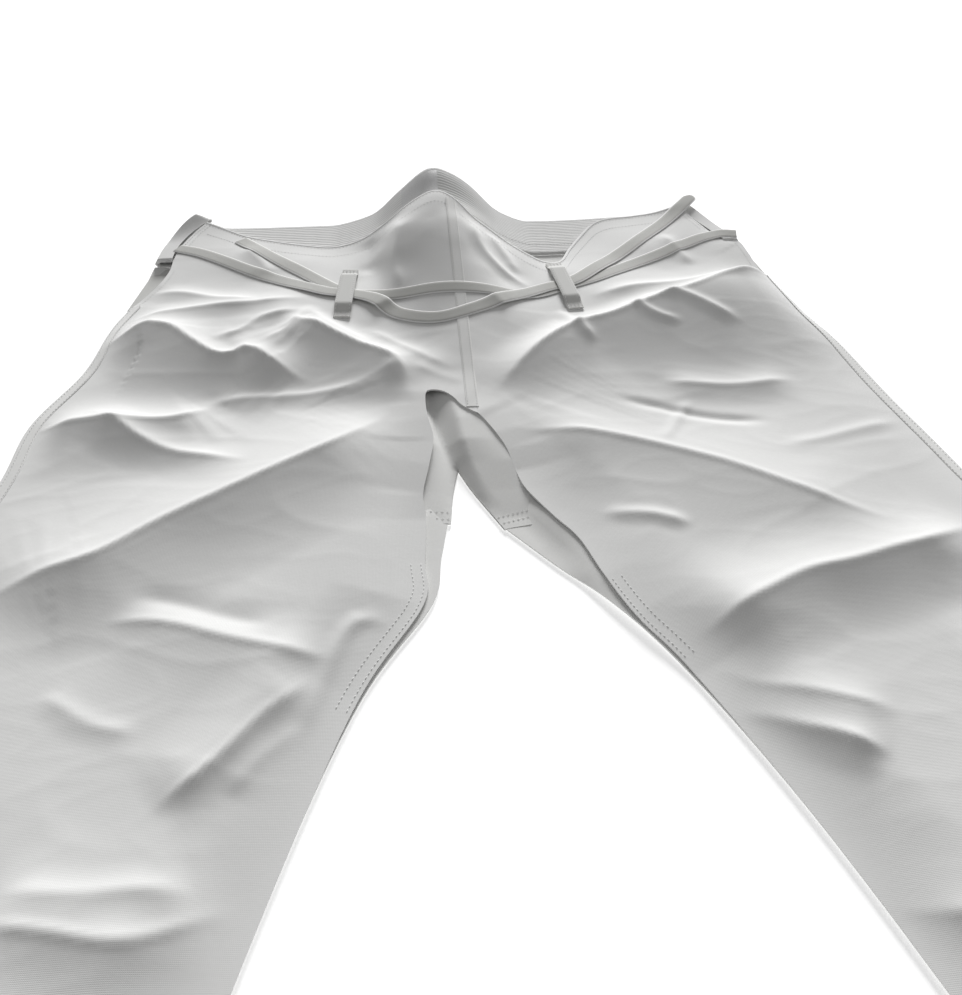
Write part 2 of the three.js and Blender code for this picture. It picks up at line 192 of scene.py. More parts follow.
# Back panels: the cloth shows a little beyond the front one along both legs. No heights.
BACK_SIDE = {
    "right": [(-283, 426), (-286, 400), (-294, 352), (-302, 318), (-309, 261),
              (-331, 197), (-334, 135), (-344, 67), (-356, 19), (-368, -22),
              (-378.5, -111), (-413, -272), (-450, -445)],
    "left": [(251, 426), (254, 400), (260.5, 352), (270, 300), (281.5, 261),
             (292, 187), (302.5, 129), (311, 81), (327, 19), (344, -13),
             (355, -92), (401, -262), (450, -433)],
}
BACK_INNER = {
    "right": ([(-14.5, 187), (-30, 140), (-38, 120), (-42, 100), (-40, 73)],
              [(-40, 73), (-46, 40), (-53, 3), (-93, -62), (-134, -172),
               (-181, -330), (-231.3, -499)]),
    "left": ([(-13.5, 187), (-18, 150), (-20, 120), (-14, 90), (-3, 62)],
             [(-3, 62), (22, 30), (49, -3), (85, -61), (127, -161),
              (179, -322), (235, -499)]),
}

# ------------------------------------------------------------------------------ broad form
# Heights of the front cloth at given places: the hump at the centre of the waist, the shelf
# that the tapes lie on, the fall below it, and the low crowns of thighs, knees and shins.
FORM = [
    *RIGHT_WAIST[::-1],
    (2, 432, 38), (17, 426, 28), (32, 416, 20), (47, 402, 16),
    (62, 389, 14), (76, 391, 13), (102, 441, 12), (132, 474, 12), (181, 484, 12), (206, 492, 15),
    (-14, 412, 46.5), (-36, 414, 48), (-60, 414, 41), (-82, 412, 24), (6, 404, 35),
    (-14, 385, 42), (-38, 385, 42), (-62, 385, 34), (8, 382, 31), (30, 374, 20),
    (-265, 425, 10), (-205, 425, 12), (-150, 410, 13), (-108, 385, 14.5), (-86, 376, 17),
    (-62, 360, 27), (-38, 358, 35.5), (-14, 356, 36), (8, 352, 29), (30, 350, 18), (52, 350, 16),
    (72, 372, 15), (104, 390, 13), (160, 420, 12.6), (215, 440, 11.8), (-108, 344, 15.5),
    (-108, 314, 15), (72, 344, 15.5), (72, 314, 15), (-200, 372, 9), (-265, 375, 8),
    (165, 374, 9.4), (230, 385, 7.5),
    (-14, 320, 29), (-42, 320, 27), (-66, 320, 20), (12, 320, 25), (38, 320, 18),
    (-160, 325, 15), (-230, 325, 13), (130, 325, 15), (200, 325, 14),
    (-14, 262, 21), (-48, 262, 17), (18, 262, 17), (-110, 235, 8), (-190, 228, 6),
    (-270, 228, 6), (90, 225, 7), (170, 225, 6), (240, 230, 6),
    (-14, 205, 15), (-42, 208, 15.5), (15, 195, 12), (-90, 190, 10), (70, 185, 8),
    (-80, 130, 10), (-180, 140, 7), (-280, 140, 6), (-100, 60, 10), (-200, 60, 7),
    (-310, 60, 6), (-130, -40, 9), (-230, -40, 8), (-330, -40, 7), (-170, -150, 9),
    (-250, -140, 9), (-330, -130, 8), (-240, -300, 10), (-330, -290, 8), (-300, -440, 8),
    (-400, -420, 6),
    (60, 130, 9), (150, 130, 7), (250, 130, 7), (90, 50, 9), (180, 50, 8), (270, 50, 7),
    (130, -50, 9), (220, -45, 8), (310, -40, 7), (180, -140, 9), (250, -130, 9),
    (320, -110, 8), (240, -300, 10), (330, -290, 8), (300, -440, 8), (400, -430, 6),
]


def kernel(distance):
    """The kernel of a thin-plate spline."""
    return distance ** 2 * np.log(distance + 1e-6)


class Form:
    """A smooth surface through given heights."""

    def __init__(self, controls, softness=20.0):
        self.at = np.array(controls, float)[:, :2]
        z = np.array(controls, float)[:, 2]
        self.scale = 100.0
        p = self.at / self.scale
        n = len(p)
        k = kernel(np.linalg.norm(p[:, None] - p[None], axis=-1)) + np.eye(n) * softness * 1e-4
        plane = np.c_[np.ones(n), p]
        system = np.block([[k, plane], [plane.T, np.zeros((3, 3))]])
        solved = np.linalg.solve(system, np.r_[z, 0, 0, 0])
        self.weights, self.plane = solved[:n], solved[n:]

    def __call__(self, xy):
        p = xy / self.scale
        k = kernel(np.linalg.norm(p[:, None] - self.at[None] / self.scale, axis=-1))
        return k @ self.weights + np.c_[np.ones(len(p)), p] @ self.plane


front_form = Form(FORM)

# ------------------------------------------------------------------------------ folds
# A fold: the plan line of its crest, its height, and how far it falls away on the waist side and
# on the hem side. A negative height is a groove. Lines run from the wearer's right to the left, or
# from the waist to the hem, where "waist side" is the wearer's left.
RIGHT_LEG_FOLDS = {
    "hip line": ([(-290, 325), (-253, 329), (-217, 335), (-180, 337), (-138, 342)], 3, 12, 12),
    "hip shelf": ([(-312, 284), (-285, 297), (-266, 304), (-246, 296), (-228, 277), (-208, 258),
                   (-194, 255), (-182, 262), (-165, 247), (-146, 230), (-128, 220)], 10, 20, 50),
    "hip shelf inner": ([(-156, 316), (-147, 298), (-133, 289), (-119, 276), (-101, 260),
                         (-76, 240), (-67, 225), (-58, 190)], 12, 16, 56),
    "shelf fall": ([(-216, 282), (-202, 288), (-190, 294), (-174, 312), (-142, 322)], 3, 14, 14),
    "hip flat": ([(-330, 184), (-281, 186), (-257, 184), (-228, 183), (-212, 190), (-196, 206)],
                 8, 24, 40),
    "hip flat line": ([(-215, 197), (-194, 207), (-174, 209), (-152, 208), (-108, 211), (-84, 218)],
                      1.5, 5, 10),
    "outer thigh": ([(-292, 206), (-272, 188), (-246, 163), (-223, 147), (-200, 139), (-165, 128)],
                    3.5, 12, 18),
    "long diagonal": ([(-322, 12), (-280, 34), (-250, 43), (-214, 72), (-175, 98), (-140, 121),
                       (-112, 139), (-90, 160), (-66, 190)], 12, 52, 46),
    "mid thigh groove": ([(-226, 15), (-196, 8), (-168, -4), (-138, -14)], -1.4, 8, 6),
    "mid thigh": ([(-240, -4), (-215, -5), (-195, -9), (-171, -19), (-148, -27), (-125, -34),
                   (-100, -40)], 3.4, 15, 34),
    "above knee": ([(-260, -49), (-243, -61), (-231, -70), (-217, -76), (-200, -80)], 1.0, 6, 8),
    "inner thigh": ([(-116, -44), (-127, -59), (-142, -74), (-160, -97), (-176, -113),
                     (-190, -124)], 4.0, 12, 24),
    "inner thigh low": ([(-120, -76), (-131, -88), (-143, -100), (-155, -120)], 1.3, 10, 6),
    "inseam crease": ([(-71, -16), (-89, -9), (-98, -14), (-104, -26), (-110, -45), (-117, -68),
                       (-122, -94)], 2.4, 4, 5),
    "knee upper": ([(-252, -159), (-231, -161), (-209, -163), (-187, -162), (-156, -167)],
                   1.3, 7, 8),
    "knee lower": ([(-262, -172), (-225, -178), (-200, -184), (-186, -185), (-173, -182),
                    (-158, -176), (-140, -172)], 3.8, 30, 24),
    "loop crease outer": ([(-176, 269), (-160, 283), (-152, 290), (-148, 302), (-138, 330)],
                          2.6, 7, 14),
    "loop crease middle": ([(-140, 325), (-126, 297), (-103, 274), (-90, 260)], 1.6, 5, 8),
    "fly crease": ([(-96, 292), (-62, 254), (-24, 220)], 2, 10, 11),
    "fly tuck": ([(-78, 236), (-66, 210), (-56, 184)], 1.6, 6, 7),
    "crotch pull": ([(-58, 232), (-40, 218), (-20, 206)], 1.5, 6, 6),
    "shin upper": ([(-340, -262), (-300, -236), (-262, -228), (-215, -236)], 4, 34, 30),
    "shin middle": ([(-385, -312), (-350, -330), (-300, -338), (-262, -360)], 3, 34, 28),
    "ankle": ([(-410, -396), (-345, -414), (-290, -444)], 2.2, 30, 24),
}
LEFT_LEG_FOLDS = {
    "hip shelf": ([(-14, 188), (2, 197), (21, 223), (43, 248), (71, 270), (101, 282), (126, 295),
                   (149, 306), (182, 322), (213, 341), (244, 352), (300, 350), (350, 340)],
                  13, 16, 100),
    "hip line": ([(86, 321), (100, 327), (135, 338), (171, 344), (228, 353), (268, 356)], 3, 9, 12),
    "loop crease": ([(62, 306), (71, 276), (83, 246)], 1.8, 4, 5),
    "hip crease": ([(128, 318), (165, 304), (206, 270)], 1.8, 5, 8),
    "pinch": ([(113, 309), (133, 283), (158, 271)], 1.4, 3.5, 5),
    "thigh groove": ([(84, 185), (115, 175), (132, 167), (160, 159), (196, 156)], -1.6, 4, 5),
    "groove cross": ([(110, 128), (124, 154), (142, 184)], 0.8, 4, 3),
    "upper thigh": ([(120, 205), (175, 198), (230, 205)], 2.5, 14, 16),
    "broad thigh": ([(-6, 160), (20, 151), (60, 142), (95, 129), (130, 112), (152, 99), (176, 81),
                     (206, 60), (244, 38)], 7.5, 48, 50),
    "short thigh": ([(54, 66), (78, 63), (93, 59), (112, 49)], 1.6, 5, 6),
    "outer thigh": ([(186, 123), (217, 130), (253, 141), (289, 150)], 0.9, 5, 6),
    "long crease": ([(84, -42), (115, -25), (136, -14), (165, 0), (195, 6), (225, 15), (252, 22),
                     (296, 42)], 9, 30, 32),
    "inner knee upper": ([(94, -56), (114, -70), (131, -76), (155, -85), (184, -96)], 2.2, 13, 14),
    "inner knee": ([(90, -84), (113, -91), (131, -100), (147, -108), (168, -122)], 4.5, 12, 14),
    "knee": ([(126, -190), (150, -196), (182, -200)], 3, 14, 14),
    "knee outer": ([(225, -72), (280, -60), (328, -35)], 4, 26, 22),
    "shin upper": ([(200, -212), (250, -222), (300, -246), (336, -252)], 4, 34, 30),
    "shin middle": ([(256, -356), (320, -340), (378, -308)], 3, 34, 28),
    "ankle": ([(282, -446), (345, -418), (412, -398)], 2.2, 30, 24),
}
WAIST_FOLDS = {
    "hump tuck long": ([(0, 424), (5, 388), (20, 362), (46, 336)], 2.2, 7, 7),
    "hump tuck short": ([(14, 418), (28, 384), (34, 360)], 1.6, 5, 5),
    "hump foot right": ([(-92, 436), (-90, 410), (-92, 372)], -2, 9, 14),
    "hump side right": ([(-70, 440), (-66, 410), (-70, 372), (-62, 330)], 2.5, 9, 9),
    "waist pleat right": ([(-206, 446), (-186, 412), (-176, 385)], 1.6, 9, 8),
    "waist pleat left": ([(176, 440), (186, 405), (192, 382)], 1.6, 8, 9),
    "vent roll": ([(-285, 372), (-250, 366), (-215, 350), (-180, 345)], 2.5, 10, 12),
}
FOLDS = [*RIGHT_LEG_FOLDS.values(), *LEFT_LEG_FOLDS.values(), *WAIST_FOLDS.values()]
CREST_ROUND = 2.2        # radius of a crest
CREST_LIP = dict(height=0.9, full_at=4.0, waist=6.5, hem=4.5)   # the sharp crease on top of a crest
WAIST_SIDE = dict(spread=1.9, power=2.3)   # how a fold falls away on each side of its crest
HEM_SIDE = dict(spread=1.5, power=1.7)
FOLD_STEP = 9.0
FOLD_LINES = [(smooth_line(line, FOLD_STEP), height, up, down) for line, height, up, down in FOLDS]


def fold_relief(xy):
    """What all the folds together add to the height at each plan point."""
    total = np.zeros(len(xy))
    for line, height, toward_waist, toward_hem in FOLD_LINES:
        reach = 3.2 * max(toward_waist, toward_hem)
        low, high = line.min(0) - reach, line.max(0) + reach
        near = ((xy > low) & (xy < high)).all(1)
        if not near.any():
            continue
        distance, side, place, _, _ = nearest(xy[near], line)
        uphill = side > 0
        reach = np.where(uphill, toward_waist * WAIST_SIDE["spread"],
                         toward_hem * HEM_SIDE["spread"])
        away = np.sqrt(distance ** 2 + CREST_ROUND ** 2) - CREST_ROUND
        power = np.where(uphill, WAIST_SIDE["power"], HEM_SIDE["power"])
        ends = smoothstep(0, 0.25, place) * smoothstep(1, 0.75, place)
        total[near] += height * np.clip(1 - away / reach, 0, 1) ** power * ends
        lip_reach = np.where(uphill, CREST_LIP["waist"], CREST_LIP["hem"])
        lip = CREST_LIP["height"] * np.clip(height / CREST_LIP["full_at"], 0, 1)
        total[near] += lip * np.clip(1 - distance / lip_reach, 0, 1) ** 1.5 * ends
    return total


# ------------------------------------------------------------------------------ small creases
def crumple(xy):
    """Small irregular unevenness, longer across the leg than along it."""
    out = np.empty(len(xy))
    for i, (x, y) in enumerate(xy):
        bend = noise.noise(Vector((x / 130, y / 130, 3.1))) * 26
        broad = noise.noise(Vector((x / 120, (y + bend) / 60, 0.4)))
        ridge = 1 - 2.2 * abs(noise.noise(Vector((x / 85, (y - bend) / 42, 12.3))))
        crease = 1 - 2.6 * abs(noise.noise(Vector((x / 46, (y + bend) / 18, 7.7))))
        calm = 0.35 if y > 300 else 1.0
        out[i] = calm * (0.5 * broad + 0.22 * max(ridge, 0) ** 3 + 0.1 * max(crease, 0) ** 3)
    return out


# ------------------------------------------------------------------------------ the relief
ROLL = 38.0              # width of the roll where a layer turns down to its side seam
INNER_RISE = 56.0        # width of the slow rise from the inseam
FLAT_HEIGHT = 1.3        # top of a back layer, which lies on the ground


def front_height(side, xy):
    """Top of the front cloth of one leg at each plan point."""
    edges = EDGES[side]
    height = front_form(xy) + fold_relief(xy) + crumple(xy)
    distance, edge_height = edge_distance(xy, edges["inner"])
    height = edge_height + (height - edge_height) * smoothstep(-3, INNER_RISE, distance)
    outer = edges["band_end"] + edges["vent"][1:] + edges["side"][1:]
    distance, edge_height = edge_distance(xy, outer)
    t = np.clip(distance / ROLL, 0, 1)
    height = edge_height + (height - edge_height) * (1 - (1 - t) ** 2) ** 0.8
    return np.maximum(height, FLAT_HEIGHT + CLOTH + 0.1)


def edge_distance(xy, edge):
    """Distance to an edge, and the edge's own height at its nearest point."""
    line = np.array(edge, float)
    distance, _, _, k, share = nearest(xy, line)
    return distance, line[k, 2] * (1 - share) + line[k + 1, 2] * share


def front_top(xy):
    """Top of the front cloth, whichever leg is there."""
    xy = np.atleast_2d(np.array(xy, float))
    return np.where(xy[:, 0] < CENTRE, front_height("right", xy), front_height("left", xy))


# ------------------------------------------------------------------------------ materials
def new_material(name):
    """A node material, its tree and its Principled shader."""
    material = bpy.data.materials.new(name)
    material.use_nodes = True
    tree = material.node_tree
    shader = tree.nodes["Principled BSDF"]
    return material, tree, shader


WAVE_RATE = 20           # radians that a wave texture turns through per metre, at scale 1


def fabric(name, colour, pitch=0.8, relief=0.02, ribs=0.0, sheen=0.25, roughness=0.9):
    """Woven cotton: two crossing sets of yarns, slubs, soft unevenness of tone and fine fuzz."""
    material, tree, shader = new_material(name)
    nodes, links = tree.nodes, tree.links
    where = nodes.new("ShaderNodeTexCoord").outputs["Object"]

    def wave(direction, pitch):
        node = nodes.new("ShaderNodeTexWave")
        node.wave_type = "BANDS"
        node.bands_direction = direction
        node.inputs["Scale"].default_value = 2 * math.pi / (WAVE_RATE * pitch * MM)
        node.inputs["Distortion"].default_value = 0.6
        node.inputs["Detail"].default_value = 1.0
        links.new(where, node.inputs["Vector"])
        return node.outputs["Fac"]

    def cloud(scale, detail=3.0):
        node = nodes.new("ShaderNodeTexNoise")
        node.inputs["Scale"].default_value = scale
        node.inputs["Detail"].default_value = detail
        links.new(where, node.inputs["Vector"])
        return node.outputs["Fac"]

    def mix(operation, a, b):
        node = nodes.new("ShaderNodeMath")
        node.operation = operation
        for socket, value in zip(node.inputs, (a, b)):
            if isinstance(value, float):
                socket.default_value = value
            else:
                links.new(value, socket)
        return node.outputs[0]

    weave = mix("MULTIPLY", wave("X", pitch), wave("Y", pitch))
    slubs = cloud(420.0)
    surface = mix("ADD", mix("MULTIPLY", weave, 0.6), mix("MULTIPLY", slubs, 0.6))
    if ribs:
        surface = mix("ADD", surface, mix("MULTIPLY", wave("Y", ribs), 1.5))
    bump = nodes.new("ShaderNodeBump")
    bump.inputs["Strength"].default_value = 0.3
    bump.inputs["Distance"].default_value = relief * MM * 10
    links.new(surface, bump.inputs["Height"])
    links.new(bump.outputs["Normal"], shader.inputs["Normal"])

    tone = nodes.new("ShaderNodeMixRGB")
    darker = [c * 0.93 for c in colour]
    tone.inputs["Color1"].default_value = (*darker, 1)
    tone.inputs["Color2"].default_value = (*colour, 1)
    spread = mix("ADD", mix("MULTIPLY", cloud(9.0), 0.6), mix("MULTIPLY", weave, 0.15))
    links.new(mix("ADD", spread, mix("MULTIPLY", slubs, 0.35)), tone.inputs["Fac"])
    links.new(tone.outputs["Color"], shader.inputs["Base Color"])
    shader.inputs["Roughness"].default_value = roughness
    shader.inputs["Sheen Weight"].default_value = sheen
    shader.inputs["Sheen Roughness"].default_value = 0.5
    shader.inputs["Specular IOR Level"].default_value = 0.25
    return material


FRONT_COTTON = fabric("front_cotton", (0.86, 0.86, 0.85))
BACK_COTTON = fabric("back_cotton", (0.84, 0.84, 0.825))
# The vent facings are coloured darker than the cloth: painted shade for the inside of the open
# vents.
VENT_COTTON_PAINTED_SHADE = fabric("vent_cotton", (0.64, 0.64, 0.62))
SEAM_COTTON = fabric("seam_cotton", (0.84, 0.84, 0.825), pitch=0.9)
BAND_COTTON = fabric("band_cotton", (0.80, 0.80, 0.79), pitch=1.0)
# The tapes' grey, darker than the front cloth, is painted shade on white cotton tape; the run
# inside the band shares it.
TAPE_COTTON_PAINTED_SHADE = fabric("tape_cotton", (0.54, 0.54, 0.515), pitch=0.7, relief=0.04)
# Near-white painted highlight for the lit upper edges of the tapes and the rim of the front waist
# edge.
PAINTED_HIGHLIGHT = fabric("painted_highlight_cotton", (0.95, 0.95, 0.94), pitch=0.7, relief=0.01)
# The loops' grey, darker than the front cloth, is painted shade on white cotton.
LOOP_COTTON_PAINTED_SHADE = fabric("loop_cotton", (0.66, 0.66, 0.64), pitch=0.9)
THREAD = fabric("sewing_thread", (0.88, 0.88, 0.87), pitch=0.35, sheen=0.4)
SATIN = fabric("label_satin", (0.70, 0.70, 0.70), pitch=0.5, relief=0.02, sheen=0.1, roughness=0.5)
RUBBER = fabric("covered_elastic", (0.80, 0.80, 0.78), pitch=0.8, ribs=2.2)


# ------------------------------------------------------------------------------ making meshes
def make_object(name, points, faces, material, thickness=0.0):
    """A smooth-shaded mesh object from points in millimetres. thickness is added underneath."""
    mesh = bpy.data.meshes.new(name)
    mesh.from_pydata([tuple(p) for p in np.asarray(points) * MM], [], [tuple(f) for f in faces])
    mesh.validate()
    obj = bpy.data.objects.new(name, mesh)
    bpy.context.scene.collection.objects.link(obj)
    if thickness:
        solidify = obj.modifiers.new("thickness", "SOLIDIFY")
        solidify.thickness = thickness * MM
        solidify.offset = -1
        solidify.use_rim = True
        apply_modifiers(obj)
    finish_mesh(obj, material)
    return obj


def apply_modifiers(obj):
    """Puts the mesh that the modifiers make in place of the object's own."""
    graph = bpy.context.evaluated_depsgraph_get()
    made = bpy.data.meshes.new_from_object(obj.evaluated_get(graph))
    obj.modifiers.clear()
    old, obj.data = obj.data, made
    bpy.data.meshes.remove(old)


def finish_mesh(obj, material):
    """One material and smooth shading, with sharp edges where the faces turn steeply."""
    mesh = obj.data
    mesh.materials.clear()
    mesh.materials.append(material)
    mesh.shade_smooth()
    mesh.set_sharp_from_angle(angle=math.radians(SHARP_ANGLE))


def outline_of(*edges, step=GRID):
    """A closed outline from edges that follow each other, without their heights."""
    return np.vstack([smooth_line(plan_points(edge), step)[:-1] for edge in edges])


FILL_MARGIN = 0.55       # share of the spacing kept free between the outline and the points inside
FILL_BATCHES = 40        # the points inside are measured in this many batches, to save memory


def fill(outline, spacing=GRID):
    """Points and triangles of an evenly filled outline."""
    low, high = outline.min(0), outline.max(0)
    row_step = spacing * math.sqrt(3) / 2
    rows = np.arange(low[1], high[1], row_step)
    columns = np.arange(low[0], high[0] + spacing, spacing)
    x, y = np.meshgrid(columns, rows)
    x = x + (np.arange(len(rows)) % 2)[:, None] * spacing / 2
    grid = np.c_[x.ravel(), y.ravel()]
    grid = grid[inside(grid, outline)]
    closed = np.vstack([outline, outline[:1]])
    batches = np.array_split(grid, FILL_BATCHES)
    far = np.concatenate([nearest(batch, closed)[0] for batch in batches])
    grid = grid[far > spacing * FILL_MARGIN]
    points = [Vector(p) for p in np.vstack([outline, grid])]
    edges = [(k, (k + 1) % len(outline)) for k in range(len(outline))]
    made, _, faces, *_ = delaunay_2d_cdt(points, edges, [], 1, 1e-4)
    return np.array([tuple(p) for p in made]), faces


def cloth(name, outline, height, material, spacing=GRID, thickness=CLOTH):
    """A sheet of cloth over a plan outline, with its top at the given height."""
    xy, faces = fill(outline, spacing)
    return make_object(name, np.c_[xy, height(xy)], facing_up(xy, faces), material, thickness)


def frames_along(path, up):
    """Sideways and upward unit vectors at each point of a path."""
    tangent = unit_rows(np.gradient(path, axis=0))
    side = unit_rows(np.cross(tangent, up))
    return side, np.cross(side, tangent)


def ribbon(name, path, up, width, thickness, material, rounding=0.35, round_end=False, edges=None):
    """A flat strip whose middle follows a path. edges is the material of the upper halves of its
    two rounded edges, where a painted highlight goes.
    """
    side, above = frames_along(path, up)
    half, thick = width / 2, thickness / 2
    edge = thick * rounding * 2
    section = [(-half, 0), (-half + edge, thick), (-half * 0.5, thick), (0, thick),
               (half * 0.5, thick), (half - edge, thick), (half, 0), (half - edge, -thick),
               (0, -thick), (-half + edge, -thick)]
    narrow = np.ones(len(path))
    if round_end:
        to_end = np.linalg.norm(path - path[-1], axis=1)
        narrow = np.sqrt(1 - (1 - np.clip(to_end / half, 0.04, 1)) ** 2)
    rings = np.stack([path + side * (a * narrow)[:, None] + above * b for a, b in section], axis=1)
    points = rings.reshape(-1, 3)
    n = len(section)
    faces = []
    for r in range(len(path) - 1):
        for k in range(n):
            a, b = r * n + k, r * n + (k + 1) % n
            faces.append((a, b, b + n, a + n))
    last = (len(path) - 1) * n
    faces.append(tuple(range(n))[::-1])
    faces.append(tuple(last + k for k in range(n)))
    strip = make_object(name, points, orient(points, faces), material)
    if edges:
        strip.data.materials.append(edges)
        for face in strip.data.polygons[:last]:
            if face.index % n in (0, n // 2):
                face.material_index = 1
    return strip


def orient(points, faces):
    """Turns the faces of a closed mesh outwards if its volume comes out negative."""
    volume = 0.0
    for face in faces:
        a = points[face[0]]
        for i in range(1, len(face) - 1):
            volume += np.dot(a, np.cross(points[face[i]], points[face[i + 1]]))
    return faces if volume > 0 else [face[::-1] for face in faces]


# ------------------------------------------------------------------------------ camera
CAMERA_FROM_CENTRE = Vector((-0.0547, -0.3766, 0.412))   # from the middle of the object's footprint
CAMERA_DOWN = 41.0
CAMERA_TURN = -4.5
CAMERA_LENS = 34.84


def make_camera():
    """The camera, placed from the middle of the footprint."""
    data = bpy.data.cameras.new("camera")
    data.lens = CAMERA_LENS
    data.sensor_width = 36
    data.clip_start, data.clip_end = 0.01, 50
    camera = bpy.data.objects.new("camera", data)
    footprint = (CAD_LOW + CAD_HIGH) / 2
    camera.location = Vector((footprint.x, footprint.y, CAD_LOW.z)) + CAMERA_FROM_CENTRE
    camera.rotation_euler = (math.radians(90 - CAMERA_DOWN), 0, math.radians(CAMERA_TURN))
    bpy.context.scene.collection.objects.link(camera)
    bpy.context.scene.camera = camera


make_camera()

# ------------------------------------------------------------------------------ waistband's size
# Its lower and upper edge, its ends and how far they turn over, and its section: the height of the
# side folds' axis, the radius of their middle line and half the band's thickness.
BAND_LOW, BAND_HIGH = 427.0, 499.0
BAND_LEFT, BAND_RIGHT, BAND_WRAP = 240.0, -272.0, 16.0
BAND_MIDDLE, BAND_RADIUS, BAND_HALF = 5.4, 3.4, 1.7
# Sideways shift of a side fold at the lower edge, how much that changes up to the top edge, and
# the power of that change.
LEAN = {"right": (-11.0, 25.0, 2.2), "left": (9.0, -29.0, 1.0)}
LEAN_REACH = 30.0        # how far the back layer gives way beside a leaning fold
CORNER_RISE = {"right": 8.0, "left": 2.5}
CORNER_WIDTH = 12.0
FLARE_FROM = 455.0


def lean(side, y):
    """Sideways shift of a side fold at each place up the band."""
    at_low, change, power = LEAN[side]
    return at_low + change * np.clip((y - BAND_LOW) / (BAND_HIGH - BAND_LOW), 0, 1) ** power


def corner_rise(x, y):
    """How much the side folds stand up at the band's top edge."""
    right = CORNER_RISE["right"] * np.exp(-((x - BAND_RIGHT) / CORNER_WIDTH) ** 2)
    left = CORNER_RISE["left"] * np.exp(-((x - BAND_LEFT) / CORNER_WIDTH) ** 2)
    return (right + left) * smoothstep(FLARE_FROM, BAND_HIGH, y)


def band_fold_top(xy):
    """Top of the band's two side folds, and 0 away from them."""
    x, y = xy.T
    top = np.zeros(len(x))
    outer = BAND_RADIUS + BAND_HALF
    for side, edge, way in (("right", BAND_RIGHT, -1), ("left", BAND_LEFT, 1)):
        past = (x - (edge + lean(side, y) - way * outer)) * way      # beyond the fold's axis
        round_part = BAND_MIDDLE + np.sqrt(np.clip(outer ** 2 - np.maximum(past, 0) ** 2, 0, None))
        round_part = round_part + corner_rise(x - lean(side, y), y)
        top = np.where((past > outer - BAND_WRAP) & (past < outer + 1), round_part, top)
    return np.where((y > BAND_LOW - 5) & (y < BAND_HIGH), top, 0)


# ------------------------------------------------------------------------------ drawstring
# A route is the plan line of a strand. Each strand comes out of the side of the back waistband,
# goes through the near belt loop, across the front and through the far loop.
TAPE_WIDTH, TAPE_THICKNESS, TAPE_STEP = 14.0, 1.0, 2.5
TAPE_GAP = 0.1           # air under a tape
STRANDS = {
    "right": dict(
        route=[(-265, 448), (-240, 434), (-203, 405), (-160, 371), (-128, 349), (-108, 342),
               (-88, 329), (-66, 302), (-35, 288), (-3, 298), (30, 321), (54, 337), (72, 345),
               (86, 354), (108, 378), (154, 429), (186, 465), (216, 502), (221, 509)],
        length=0.62,
    ),
    "left": dict(
        route=[(246.5, 436), (231, 438), (211, 430), (185, 413), (147, 389), (117, 368), (98, 355),
               (72, 342), (40, 326), (10, 322), (-30, 323), (-66, 329), (-90, 338),
               (-108, 345), (-121, 355), (-150, 389), (-180, 423), (-209, 457)],
        length=0.535,
    ),
}


def moving_average(values, reach):
    """The values smoothed over `reach` neighbours on each side."""
    padded = np.pad(values, reach, mode="edge")
    weights = np.hanning(2 * reach + 3)[1:-1]
    return np.convolve(padded, weights / weights.sum(), mode="valid")


def lay_tape(route, under):
    """The middle line of a tape that rests on the front cloth and on the tape under it, if any,
    and its upward directions."""
    line = smooth_line(route, TAPE_STEP)
    across = leftward(line)
    left, middle, right = (front_top(line + across * s * TAPE_WIDTH / 2) for s in (1, 0, -1))
    rest = np.maximum(np.maximum(middle, (left + right) / 2), band_fold_top(line))
    if under is not None:
        distance, _, _, k, _ = nearest(line, under)
        on_tape = smoothstep(TAPE_WIDTH * 1.4, TAPE_WIDTH * 0.9, distance)
        rest = np.maximum(rest, (under[k, 2] + TAPE_THICKNESS / 2) * on_tape + rest * (1 - on_tape))
    smooth = moving_average(rest, 5)
    rest = np.maximum(smooth, rest - 0.2)
    z = moving_average(rest, 1) + TAPE_GAP + TAPE_THICKNESS / 2
    tilt = moving_average((left - right) / TAPE_WIDTH, 3)
    up = np.c_[-across * tilt[:, None], np.ones(len(line))]
    return np.c_[line, z], up


def make_strands():
    made, under = {}, None
    for side in ("left", "right"):
        strand = STRANDS[side]
        path, up = lay_tape(strand["route"], under)
        under = path
        # The tape's upper rounded edges take the near-white painted highlight.
        tape = ribbon(f"drawstring_{side}", path, up, TAPE_WIDTH, TAPE_THICKNESS, TAPE_COTTON_PAINTED_SHADE,
                      1.2, round_end=side == "right", edges=PAINTED_HIGHLIGHT)
        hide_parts(f"drawstring_{side}_strand", f"drawstring_{side}_end")
        made[side] = (tape, path)
    return made


strands = make_strands()
# Each tape's placement is baked into its mesh.
for side, (tape, _) in strands.items():
    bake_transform(tape)


def follow_leg(obj):
    """Bakes the piece's placement into its mesh."""
    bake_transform(obj)


def make_front(side):
    edges = EDGES[side]
    hem = [edges["side"][-1], edges["inner"][-1]]
    centre_seam = [edges["inner"][0], (CENTRE, 300, 0), edges["waist"][0]]
    shape = outline_of(edges["waist"], edges["band_end"], edges["vent"], edges["side"], hem,
                       edges["inner"][::-1], centre_seam)
    panel = cloth(f"{side}_front_cloth", shape, lambda xy: front_height(side, xy), FRONT_COTTON)
    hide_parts(f"{side}_front_panel", f"{side}_front_lower_leg")
    follow_leg(panel)


BACK_TOP = 426.0                   # where the back panels meet the waistband
HUMP_FOOT = 261.0                  # where the back cloth leaves the ground on its way to the hump
CORNER_LIFT = 2.4                  # rise of the back cloth to the band's side folds


